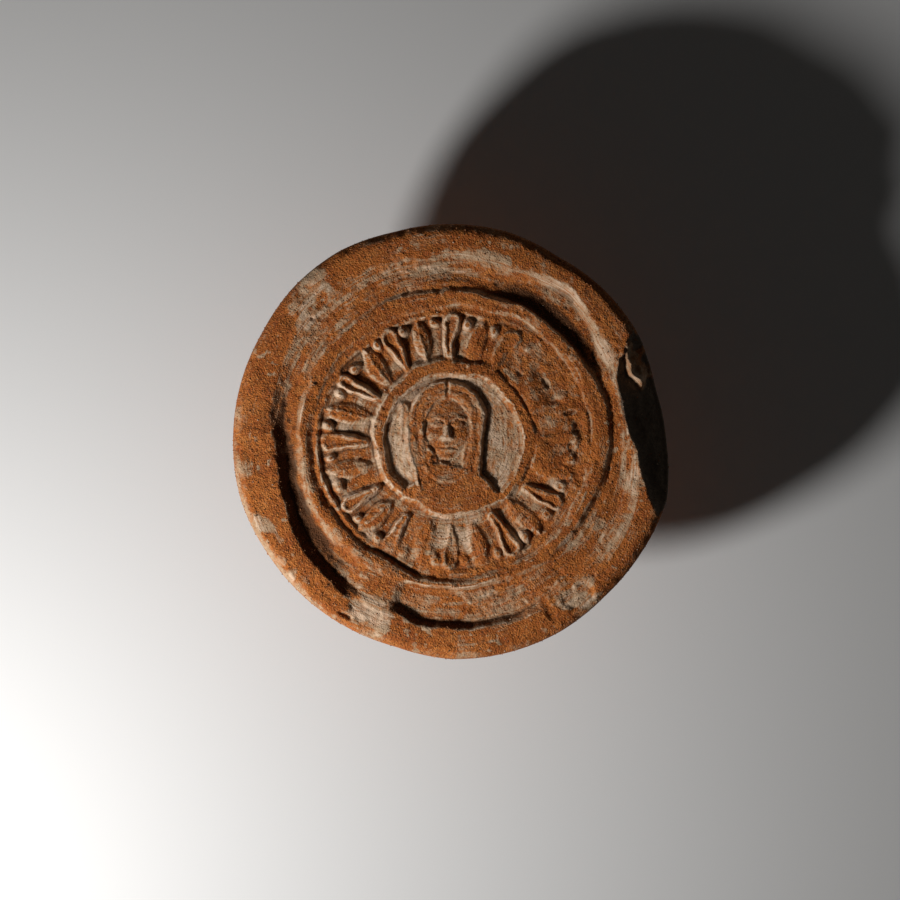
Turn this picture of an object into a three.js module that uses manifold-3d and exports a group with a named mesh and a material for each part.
// A hand-made terracotta bread stamp, in millimetres, +Z up.
// A thick disc of clay carries the stamping face on top. A stub handle is luted under it, and a
// roll of soft clay is worked round the joint. The origin is the centre of the handle's flat end.
// Angles run counter-clockwise from +X, in degrees, as seen looking down on the face.
import * as THREE from "three";
import { mergeVertices } from "three/addons/utils/BufferGeometryUtils.js";
import Module from "manifold-3d";

// The disc
const FACE_DIAMETER = 109.8;
const DISC_THICKNESS = 18;
const SHOULDER_WIDTH = 3.8; // the rounding from the rim's top to the wall, seen from above
const SHOULDER_DROP = 4.2; // the same rounding, seen from the side
const WALL_BELLY = 0.6;
const BACK_EDGE_ROUNDING = 4.5;
const BACK_DOME = 2.2; // how far the back falls from its edge to its middle

// The stamping face, from the middle outwards
const FIELD_DEPTH = 2.6; // from the rim's top to the sunk ground of the design
const MEDALLION_RADIUS = 16.6;
const INNER_RING_WIDTH = 3.8;
const INNER_RING_HEIGHT = 1.4;
const BAND_WIDTH = 12.1;
const BAND_RING_WIDTH = 1.5;
const BAND_RING_HEIGHT = 0.9;
const GROOVE_WIDTH = 0.5;
const GROOVE_FLOOR = 0.35; // the groove's floor over the ground
const OUTER_RING_WIDTH = 4.7;
const OUTER_RING_HEIGHT = 1.7;
const RING_SLOPE = 0.9; // how far each side of a wide ring runs out
const BEAD_SLOPE = 0.55; // the same for the narrow ring round the band
const MARGIN_START = 0.6; // the margin's height over the ground where it leaves the outer ring
const MARGIN_RAMP = 6.5; // how far outside the outer ring the margin reaches the rim's top

// On one side the band's hollows are almost filled with clay
const FILL_ANGLE = 16;
const FILL_SPREAD = 74;
const FILL_HEIGHT = 1.2;
const FILL_SHAPE = 0.6; // under 1 the fill ends more abruptly

// The ornament band: petals and leaves by turns, set radially, with a pellet in each gap
const BAND_REPEATS = 12;
const BAND_PATTERN = ["petal", "leaf"];
const MOTIF_GAP = 0.25; // from a motif's end to the foot of the ring beside it
const MOTIF_HEIGHT = 1.4;
const MOTIF_BEVEL = 0.45;
const MOTIF_HOLLOW = 0.4; // how far a petal's top is sunk inside its border
const HOLLOW_WIDTH_SHARE = 0.55;
const HOLLOW_LENGTH_SHARE = 0.82;
const PETAL_WIDTH = 4.4; // across its outer end
const PETAL_TIP_WIDTH = 1.8; // across its inner end
const LEAF_WIDTH = 4.6;
const LEAF_EDGE_HEIGHT = 0.6; // a leaf rises from its edge to a ridge along its middle
const LEAF_RIDGE_SHARE = 0.8; // the ridge's length as a share of the leaf's
const PELLET_DIAMETER = 2.8;
const PELLET_INSET = 2.3; // from the band's outer edge to a pellet's middle

// The head and shoulders. Places and sizes are shares of the medallion's radius, from its middle,
// and reliefs are in millimetres over the ground.
const HEAD_X = -0.05;
const CROWN_Y = 0.35; // the middle of the crown's curve
const CROWN_RADIUS = 0.58;
const HAIR_FOOT = [-0.4, 0.52, -0.6]; // the hair's lower left and lower right, and their height
const HAIR_RELIEF = 1.5;
const FACE_MIDDLE = 0.19;
const FACE_HALF_WIDTH = 0.35;
const FACE_HALF_HEIGHT = 0.48;
const FACE_EDGE_RELIEF = 0.85; // the face is set this high inside the hair, and rises to its middle
const SHOULDER_LINE = [
  [-0.55, -0.31],
  [0, -0.31],
  [0.36, -0.43],
  [0.6, -0.57],
  [0.85, -0.86],
  [0.85, -1.2],
  [-0.9, -1.2],
  [-0.9, -0.67],
  [-0.44, -0.67],
];
const SHOULDER_RELIEF = 1.5;
const PLATE_BEVEL = 0.45;

// Low domes on the bust: [name, x, y, half width, half height, relief]
const BUST_DOMES = [
  ["hanging_lock", -0.63, -0.03, 0.23, 0.66, 1.25],
  ["face", 0, 0.19, 0.36, 0.49, 1.5],
  ["nose", 0, 0.2, 0.075, 0.2, 2.3],
  ["left_brow", -0.17, 0.37, 0.14, 0.045, 1.75],
  ["right_brow", 0.17, 0.37, 0.14, 0.045, 1.75],
  ["left_eye", -0.16, 0.265, 0.09, 0.05, 1.6],
  ["right_eye", 0.16, 0.265, 0.09, 0.05, 1.6],
  ["mouth", 0, -0.08, 0.115, 0.045, 1.7],
  ["chin", 0, -0.22, 0.085, 0.06, 1.45],
];
const DOME_SINK = 0.6; // how far a dome's widest line lies under the ground

// Troughs that a fingertip pressed along the margin:
// [from angle, to angle, start and end distance outside the outer ring, half width, depth]
const TROUGHS = [
  [158, 238, 1.6, 5.2, 3, 2.6],
  [249, 303, 4.2, 6, 4.8, 2.5],
  [310, 348, 6.6, 5.4, 3, 1.5],
  [26, 90, 3.4, 3.8, 4.4, 3],
  [96, 150, 5.2, 4.2, 3.6, 0.8],
];
const TROUGH_END = 9; // degrees over which a trough fades out

// The spall, a flake lost from the rim: [angle, distance inside the outline]
const SPALL_EDGE = [
  [-20, -0.5],
  [-15, 4.6],
  [-10, 6.9],
  [-4, 8.2],
  [6, 10.3],
  [14, 10.3],
  [21, 9.4],
  [26, 7.7],
  [31, -0.5],
];
const SPALL_DROP = 8.5; // how far the break falls by the time it leaves the wall
const SPALL_HOLLOW = 0.7; // under 1 the break is steep at its inner edge and flatter outside
const CUT_OVERRUN = 1; // how far the cutting shapes stand proud of the clay they cut

// Knocks in the rim's top: [angle, distance inside the outline, half length, half width, depth]
const KNOCKS = [
  [239, 4.5, 4.2, 2.6, 0.8],
  [305, 6.5, 3.6, 2.8, 0.6],
];

// Unevenness of the hand-pressed outline: [lobes, millimetres, phase]
const OUTLINE_WAVES = [
  [1, 0.3, 148],
  [2, 0.8, -83],
  [5, 0.4, -88],
  [7, 0.35, -130],
];

// The handle and the roll of clay round its root
const HANDLE_LENGTH = 33;
const HANDLE_ROOT_RADIUS = 18;
const HANDLE_WAIST_RADIUS = 13.5;
const HANDLE_WAIST_HEIGHT = 19;
const HANDLE_KNOB_RADIUS = 17;
const HANDLE_KNOB_HEIGHT = 7.5;
const HANDLE_END_RADIUS = 13.5;
const HANDLE_SQUEEZE = 0.5; // how far the squeezed handle departs from round
const LUTING_GAP = 0.3; // the film of slip between handle and roll
const LUTING_ROLL_WIDTH = 4.5;
const LUTING_ROLL_HEIGHT = 4;
const LUTING_ROLL_TOE = 0.8; // the roll's thickness where it ends on the handle
const SEAT_MARGIN = 1.5; // flat clay on the disc's back outside the roll

// How finely the surfaces are cut
const DISC_SECTORS = 84;
const MARGIN_STEPS = 8;
const ROUNDING_STEPS = 3;
const SPALL_SECTIONS = 18;
const SPALL_STEPS = 4;
const MOTIF_ARC_STEPS = 5;
const DOME_SECTORS = 14;
const DOME_RINGS = 10;
const MEDALLION_SECTORS = 48;
const HANDLE_SECTORS = 36;
const HANDLE_STEPS = 5;
const LUTING_STEPS = 3;

const DISC_CLAY = new THREE.MeshStandardMaterial({ color: 0xa3623a, roughness: 0.95, metalness: 0 });
const HANDLE_CLAY = new THREE.MeshStandardMaterial({ color: 0x9c6440, roughness: 0.95, metalness: 0 });
const ROLL_CLAY = new THREE.MeshStandardMaterial({ color: 0xa06c49, roughness: 0.95, metalness: 0 });

// Heights and radii that follow from the driving sizes
const crest = HANDLE_LENGTH + DISC_THICKNESS;
const ground = crest - FIELD_DEPTH;
const bandInside = MEDALLION_RADIUS + INNER_RING_WIDTH;
const bandOutside = bandInside + BAND_WIDTH;
const bandMiddle = (bandInside + bandOutside) / 2;
const grooveInside = bandOutside + BAND_RING_WIDTH;
const outerRingInside = grooveInside + GROOVE_WIDTH;
const marginInside = outerRingInside + OUTER_RING_WIDTH;
const rollRadius = HANDLE_ROOT_RADIUS + HANDLE_SQUEEZE + LUTING_GAP + LUTING_ROLL_WIDTH;
const seatRadius = rollRadius + SEAT_MARGIN;

const radians = THREE.MathUtils.degToRad;
const { smoothstep, lerp } = THREE.MathUtils;

const wasm = await Module();
wasm.setup();

// Solids swept round the axis. A section is a list of [radius, height] that runs clockwise, with
// radius to the right and height up.

const fullTurn = (sectors) => Array.from({ length: sectors }, (_, i) => (360 * i) / sectors);

// How far an angle lies past another, from 0 to 360.
const degreesPast = (start, angle) => THREE.MathUtils.euclideanModulo(angle - start, 360);

// Values spaced evenly from the first to just before the last.
function steps(from, to, count) {
  return Array.from({ length: count }, (_, i) => lerp(from, to, i / count));
}

function sweptPoints(sectionAt, angles) {
  return angles.flatMap((angle) =>
    sectionAt(angle).flatMap(([radius, height]) => [
      radius * Math.cos(radians(angle)),
      radius * Math.sin(radians(angle)),
      height,
    ]),
  );
}

function gridTriangles(rows, points, rowsClose, pointsClose) {
  const triangles = [];
  for (let i = 0; i < (rowsClose ? rows : rows - 1); i++) {
    const here = i * points;
    const next = ((i + 1) % rows) * points;
    for (let j = 0; j < (pointsClose ? points : points - 1); j++) {
      const beside = (j + 1) % points;
      triangles.push(here + j, here + beside, next + beside);
      triangles.push(here + j, next + beside, next + j);
    }
  }
  return triangles;
}

function closedGeometry(positions, triangles) {
  const geometry = new THREE.BufferGeometry();
  geometry.setAttribute("position", new THREE.Float32BufferAttribute(positions, 3));
  geometry.setIndex(triangles);
  geometry.computeVertexNormals();
  return geometry;
}

// A solid of revolution whose side may change with the angle, closed by points on the axis.
function turnedSolid(topHeight, sideAt, bottomHeight, sectors) {
  const points = sideAt(0).length;
  const positions = sweptPoints(sideAt, fullTurn(sectors));
  positions.push(0, 0, topHeight, 0, 0, bottomHeight);
  const triangles = gridTriangles(sectors, points, true, false);
  const top = sectors * points;
  const bottom = top + 1;
  for (let i = 0; i < sectors; i++) {
    const here = i * points;
    const next = ((i + 1) % sectors) * points;
    triangles.push(top, here, next);
    triangles.push(bottom, next + points - 1, here + points - 1);
  }
  return closedGeometry(positions, triangles);
}

function ringSolid(sectionAt, sectors) {
  const points = sectionAt(0).length;
  const positions = sweptPoints(sectionAt, fullTurn(sectors));
  return closedGeometry(positions, gridTriangles(sectors, points, true, true));
}

// A closed section swept through part of a turn, with flat ends fanned from its first point.
function arcSolid(sectionAt, angles) {
  const points = sectionAt(angles[0]).length;
  const triangles = gridTriangles(angles.length, points, false, true);
  const last = (angles.length - 1) * points;
  for (let j = 1; j < points - 1; j++) {
    triangles.push(0, j + 1, j);
    triangles.push(last, last + j, last + j + 1);
  }
  return closedGeometry(sweptPoints(sectionAt, angles), triangles);
}

function toManifold(geometry) {
  const bare = geometry.clone();
  bare.deleteAttribute("normal");
  bare.deleteAttribute("uv");
  const merged = mergeVertices(bare, 1e-4);
  return new wasm.Manifold(
    new wasm.Mesh({
      numProp: 3,
      vertProperties: new Float32Array(merged.attributes.position.array),
      triVerts: new Uint32Array(merged.index.array),
    }),
  );
}

function toGeometry(manifold) {
  const mesh = manifold.getMesh();
  return closedGeometry(mesh.vertProperties, Array.from(mesh.triVerts));
}

// The blank disc

function outlineRadius(angle) {
  let radius = FACE_DIAMETER / 2;
  for (const [lobes, size, phase] of OUTLINE_WAVES) {
    radius += size * Math.cos(radians(lobes * angle - phase));
  }
  return radius;
}

function troughDepth(radius, angle) {
  let depth = 0;
  for (const [from, to, startOffset, endOffset, halfWidth, deepest] of TROUGHS) {
    const span = to - from;
    const past = degreesPast(from, angle);
    if (past < span) {
      const middle = marginInside + lerp(startOffset, endOffset, past / span);
      const across = Math.min(1, Math.abs(radius - middle) / halfWidth);
      const fade = smoothstep(past, 0, TROUGH_END) * smoothstep(span - past, 0, TROUGH_END);
      depth += (deepest * fade * (1 + Math.cos(Math.PI * across))) / 2;
    }
  }
  return depth;
}

function marginHeight(radius, angle) {
  const ramp = smoothstep(radius, marginInside, marginInside + MARGIN_RAMP);
  return lerp(ground + MARGIN_START, crest, ramp) - troughDepth(radius, angle);
}

// A flat-topped ridge from foot to foot, as [radius, height over the ground].
function ringProfile(inside, width, height, slope, innerFoot, outerFoot) {
  return [
    [inside, innerFoot],
    [inside + slope, height],
    [inside + width - slope, height],
    [inside + width, outerFoot],
  ];
}

// The share of the band's hollows that is filled at an angle, from 0 to 1.
function fillShare(angle) {
  const away = Math.abs(degreesPast(FILL_ANGLE - 180, angle) - 180);
  return ((1 + Math.cos(Math.PI * Math.min(1, away / FILL_SPREAD))) / 2) ** FILL_SHAPE;
}

// The disc's side at one angle: over the face, down the wall and back along the underside.
function discSide(angle) {
  const edge = outlineRadius(angle);
  const shoulderInside = edge - SHOULDER_WIDTH;
  const shoulderTop = marginHeight(shoulderInside, angle);
  const wallTop = crest - SHOULDER_DROP;
  const wallFoot = HANDLE_LENGTH + BACK_DOME + BACK_EDGE_ROUNDING;
  const quarterTurn = [...steps(0, Math.PI / 2, ROUNDING_STEPS), Math.PI / 2];
  const margin = steps(marginInside, shoulderInside, MARGIN_STEPS);
  const fill = FILL_HEIGHT * fillShare(angle);
  const outerSlopeStart = outerRingInside + OUTER_RING_WIDTH - RING_SLOPE;
  const rings = [
    ...ringProfile(MEDALLION_RADIUS, INNER_RING_WIDTH, INNER_RING_HEIGHT, RING_SLOPE, 0, fill),
    [bandMiddle, fill],
    ...ringProfile(
      bandOutside, BAND_RING_WIDTH, Math.max(BAND_RING_HEIGHT, fill), BEAD_SLOPE, fill,
      Math.max(GROOVE_FLOOR, fill),
    ),
    [outerRingInside, Math.max(GROOVE_FLOOR, fill)],
    [outerRingInside + RING_SLOPE, OUTER_RING_HEIGHT],
    [outerSlopeStart, OUTER_RING_HEIGHT],
  ];
  return [
    [MEDALLION_RADIUS / 2, ground],
    ...rings.map(([radius, height]) => [radius, ground + height]),
    ...margin.map((radius) => [radius, marginHeight(radius, angle)]),
    ...quarterTurn.map((turn) => [
      shoulderInside + SHOULDER_WIDTH * Math.sin(turn),
      lerp(shoulderTop, wallTop, 1 - Math.cos(turn)),
    ]),
    [edge + WALL_BELLY, (wallTop + wallFoot) / 2],
    ...quarterTurn.map((turn) => [
      edge - BACK_EDGE_ROUNDING * (1 - Math.cos(turn)),
      wallFoot - BACK_EDGE_ROUNDING * Math.sin(turn),
    ]),
    [seatRadius, HANDLE_LENGTH],
  ];
}

// Damage, cut out of the disc

function spallReach(angle) {
  const after = SPALL_EDGE.findIndex(([place]) => angle <= place);
  if (after <= 0) return SPALL_EDGE[0][1];
  const [from, reachFrom] = SPALL_EDGE[after - 1];
  const [to, reachTo] = SPALL_EDGE[after];
  return lerp(reachFrom, reachTo, (angle - from) / (to - from));
}

function spallSection(angle) {
  const reach = spallReach(angle);
  const inside = outlineRadius(angle) - reach;
  const outside = outlineRadius(angle) + WALL_BELLY + CUT_OVERRUN;
  const deepestReach = Math.max(...SPALL_EDGE.map(([, distance]) => distance));
  const drop = SPALL_DROP * Math.sqrt(Math.max(0, reach) / deepestReach);
  const top = crest + CUT_OVERRUN;
  const breakLine = [...steps(1, 0, SPALL_STEPS), 0].map((share) => [
    lerp(inside, outside, share),
    lerp(top, crest - drop, share ** SPALL_HOLLOW),
  ]);
  return [[outside, top], ...breakLine];
}

function spallCutter() {
  const from = SPALL_EDGE[0][0];
  const to = SPALL_EDGE.at(-1)[0];
  return toManifold(arcSolid(spallSection, [...steps(from, to, SPALL_SECTIONS), to]));
}

function knockCutter([angle, inset, halfLength, halfWidth, depth]) {
  const geometry = new THREE.SphereGeometry(1, DOME_SECTORS, DOME_RINGS);
  geometry.scale(halfWidth, halfLength, 2 * depth);
  geometry.translate(outlineRadius(angle) - inset, 0, crest + depth);
  geometry.rotateZ(radians(angle));
  return toManifold(geometry);
}

// The ornament band. Each motif is drawn about its own middle, with +Y pointing away from the axis.

const motifLength = BAND_WIDTH - 2 * MOTIF_GAP;

// Two round ends, joined by the straight lines that touch both.
function petalShape() {
  const outer = PETAL_WIDTH / 2;
  const inner = PETAL_TIP_WIDTH / 2;
  const outerMiddle = motifLength / 2 - outer;
  const innerMiddle = inner - motifLength / 2;
  const lean = Math.asin((outer - inner) / (outerMiddle - innerMiddle));
  const shape = new THREE.Shape();
  shape.absarc(0, outerMiddle, outer, -lean, Math.PI + lean, false);
  shape.absarc(0, innerMiddle, inner, Math.PI + lean, 2 * Math.PI - lean, false);
  return shape;
}

function leafShape() {
  const tip = motifLength / 2;
  const handle = LEAF_WIDTH; // the curve bulges half as far as its control point
  const shape = new THREE.Shape();
  shape.moveTo(0, -tip);
  shape.quadraticCurveTo(handle, 0, 0, tip);
  shape.quadraticCurveTo(-handle, 0, 0, -tip);
  return shape;
}

function pelletShape() {
  const shape = new THREE.Shape();
  const outward = bandOutside - PELLET_INSET - bandMiddle;
  shape.absarc(0, outward, PELLET_DIAMETER / 2, 0, 2 * Math.PI, false);
  return shape;
}

// A plate with a bevelled top edge, standing in the ground.
function plate(shape, relief, bevel) {
  const root = FIELD_DEPTH; // how far it reaches under the ground
  const geometry = new THREE.ExtrudeGeometry(shape, {
    depth: root + relief - bevel,
    curveSegments: MOTIF_ARC_STEPS,
    bevelEnabled: true,
    bevelSegments: 1,
    bevelThickness: bevel,
    bevelSize: bevel,
    bevelOffset: -bevel,
  });
  geometry.translate(0, 0, ground - root);
  return geometry;
}

// Sinks a motif's top inside its border, less where the band is filled.
function hollowCutter(shape, angle) {
  const depth = MOTIF_HOLLOW * (1 - 0.9 * fillShare(angle));
  const geometry = new THREE.ExtrudeGeometry(shape, {
    depth: depth + CUT_OVERRUN,
    curveSegments: MOTIF_ARC_STEPS,
    bevelEnabled: false,
  });
  geometry.scale(HOLLOW_WIDTH_SHARE, HOLLOW_LENGTH_SHARE, 1);
  geometry.translate(0, 0, ground + MOTIF_HEIGHT - depth);
  return geometry;
}

function placedInBand(solid, angle) {
  return solid.translate([0, bandMiddle, 0]).rotate([0, 0, angle - 90]);
}

const BAND_MOTIFS = {
  petal(angle) {
    const border = toManifold(plate(petalShape(), MOTIF_HEIGHT, MOTIF_BEVEL));
    return border.subtract(toManifold(hollowCutter(petalShape(), angle)));
  },
  leaf() {
    const outline = leafShape().getPoints(MOTIF_ARC_STEPS);
    const ridge = (LEAF_RIDGE_SHARE * motifLength) / 2;
    return wasm.Manifold.hull([
      ...outline.map(({ x, y }) => [x, y, ground - FIELD_DEPTH]),
      ...outline.map(({ x, y }) => [x, y, ground + LEAF_EDGE_HEIGHT]),
      [0, -ridge, ground + MOTIF_HEIGHT],
      [0, ridge, ground + MOTIF_HEIGHT],
    ]);
  },
  pellet: () => toManifold(plate(pelletShape(), MOTIF_HEIGHT, MOTIF_BEVEL)),
};

function bandMotifs() {
  const slots = BAND_REPEATS * BAND_PATTERN.length;
  return fullTurn(slots).flatMap((angle, slot) => {
    const kind = BAND_PATTERN[slot % BAND_PATTERN.length];
    const gap = angle + 180 / slots;
    return [
      placedInBand(BAND_MOTIFS[kind](angle), angle),
      placedInBand(BAND_MOTIFS.pellet(), gap),
    ];
  });
}

// The head and shoulders

function dome([, x, y, halfWidth, halfHeight, relief]) {
  const geometry = new THREE.SphereGeometry(1, DOME_SECTORS, DOME_RINGS);
  geometry.rotateX(Math.PI / 2);
  geometry.scale(halfWidth * MEDALLION_RADIUS, halfHeight * MEDALLION_RADIUS, relief + DOME_SINK);
  geometry.translate((HEAD_X + x) * MEDALLION_RADIUS, y * MEDALLION_RADIUS, ground - DOME_SINK);
  return toManifold(geometry);
}

function bustPlate(shape, relief) {
  return toManifold(plate(shape, relief, PLATE_BEVEL));
}

// Hair that frames the face and falls to the shoulders, open where the face is.
function hairShape() {
  const unit = MEDALLION_RADIUS;
  const middle = HEAD_X * unit;
  const [left, right, foot] = HAIR_FOOT;
  const shape = new THREE.Shape();
  shape.moveTo((HEAD_X + left) * unit, foot * unit);
  shape.lineTo((HEAD_X + right) * unit, foot * unit);
  shape.absarc(middle, CROWN_Y * unit, CROWN_RADIUS * unit, 0, Math.PI, false);
  const face = new THREE.Path();
  face.absellipse(
    middle, FACE_MIDDLE * unit, FACE_HALF_WIDTH * unit, FACE_HALF_HEIGHT * unit, 0, 2 * Math.PI,
  );
  shape.holes.push(face);
  return shape;
}

function faceShape() {
  const unit = MEDALLION_RADIUS;
  const shape = new THREE.Shape();
  shape.absellipse(
    HEAD_X * unit, FACE_MIDDLE * unit, FACE_HALF_WIDTH * unit, FACE_HALF_HEIGHT * unit, 0, 2 * Math.PI,
  );
  return shape;
}

function shouldersShape() {
  const points = SHOULDER_LINE.map(
    ([x, y]) => new THREE.Vector2((HEAD_X + x) * MEDALLION_RADIUS, y * MEDALLION_RADIUS),
  );
  return new THREE.Shape(points.reverse());
}

// The bust ends under the inner slope of the ring round it.
function bustSolid() {
  const radius = MEDALLION_RADIUS + RING_SLOPE;
  const cutter = new THREE.CylinderGeometry(radius, radius, DISC_THICKNESS, MEDALLION_SECTORS);
  cutter.rotateX(Math.PI / 2);
  cutter.translate(0, 0, ground);
  const plates = [
    bustPlate(hairShape(), HAIR_RELIEF),
    bustPlate(faceShape(), FACE_EDGE_RELIEF),
    bustPlate(shouldersShape(), SHOULDER_RELIEF),
  ];
  return wasm.Manifold.union([...plates, ...BUST_DOMES.map(dome)]).intersect(toManifold(cutter));
}

function discSolid() {
  const blank = toManifold(turnedSolid(ground, discSide, HANDLE_LENGTH, DISC_SECTORS));
  const worked = wasm.Manifold.union([blank, bustSolid(), ...bandMotifs()]);
  const damage = wasm.Manifold.union([spallCutter(), ...KNOCKS.map(knockCutter)]);
  return toGeometry(worked.subtract(damage));
}

// The handle and its luting roll

function handleRadius(height, angle) {
  const squeeze = HANDLE_SQUEEZE * Math.cos(radians(2 * angle));
  const eased = (share) => (1 - Math.cos(Math.PI * share)) / 2;
  let radius;
  if (height > HANDLE_WAIST_HEIGHT) {
    const share = (height - HANDLE_WAIST_HEIGHT) / (HANDLE_LENGTH - HANDLE_WAIST_HEIGHT);
    radius = lerp(HANDLE_WAIST_RADIUS, HANDLE_ROOT_RADIUS, eased(share));
  } else if (height > HANDLE_KNOB_HEIGHT) {
    const share = (height - HANDLE_KNOB_HEIGHT) / (HANDLE_WAIST_HEIGHT - HANDLE_KNOB_HEIGHT);
    radius = lerp(HANDLE_KNOB_RADIUS, HANDLE_WAIST_RADIUS, eased(share));
  } else {
    // The knob turns over to the flat end as a quarter of an ellipse.
    const share = 1 - height / HANDLE_KNOB_HEIGHT;
    radius = lerp(HANDLE_END_RADIUS, HANDLE_KNOB_RADIUS, Math.sqrt(1 - share ** 2));
  }
  return radius + squeeze;
}

function handleSide(angle) {
  const heights = [
    ...steps(HANDLE_LENGTH, HANDLE_WAIST_HEIGHT, HANDLE_STEPS),
    ...steps(HANDLE_WAIST_HEIGHT, HANDLE_KNOB_HEIGHT, HANDLE_STEPS),
    ...steps(1, 0, HANDLE_STEPS).map((share) => HANDLE_KNOB_HEIGHT * share ** 2),
    0,
  ];
  return heights.map((height) => [handleRadius(height, angle), height]);
}

// The roll lies against the handle's side and the disc's back, with a hollow outer face.
function rollSection(angle) {
  const shares = [...steps(0, 1, LUTING_STEPS), 1];
  const heightAt = (share) => HANDLE_LENGTH - LUTING_ROLL_HEIGHT * (1 - share);
  const insideAt = (share) => handleRadius(heightAt(share), angle) + LUTING_GAP;
  const toe = insideAt(0) + LUTING_ROLL_TOE;
  const foot = insideAt(1) + LUTING_ROLL_WIDTH;
  const inner = shares.map((share) => [insideAt(share), heightAt(share)]);
  const outer = shares.map((share) => [lerp(toe, foot, share ** 2), heightAt(share)]);
  return [...inner, ...outer.reverse()];
}

function piece(name, geometry, material) {
  const mesh = new THREE.Mesh(geometry, material);
  mesh.name = name;
  return mesh;
}

const breadStamp = new THREE.Group();
breadStamp.add(piece("stamp_disc", discSolid(), DISC_CLAY));
breadStamp.add(piece("handle", turnedSolid(HANDLE_LENGTH, handleSide, 0, HANDLE_SECTORS), HANDLE_CLAY));
breadStamp.add(piece("luting_roll", ringSolid(rollSection, HANDLE_SECTORS), ROLL_CLAY));

export default breadStamp;
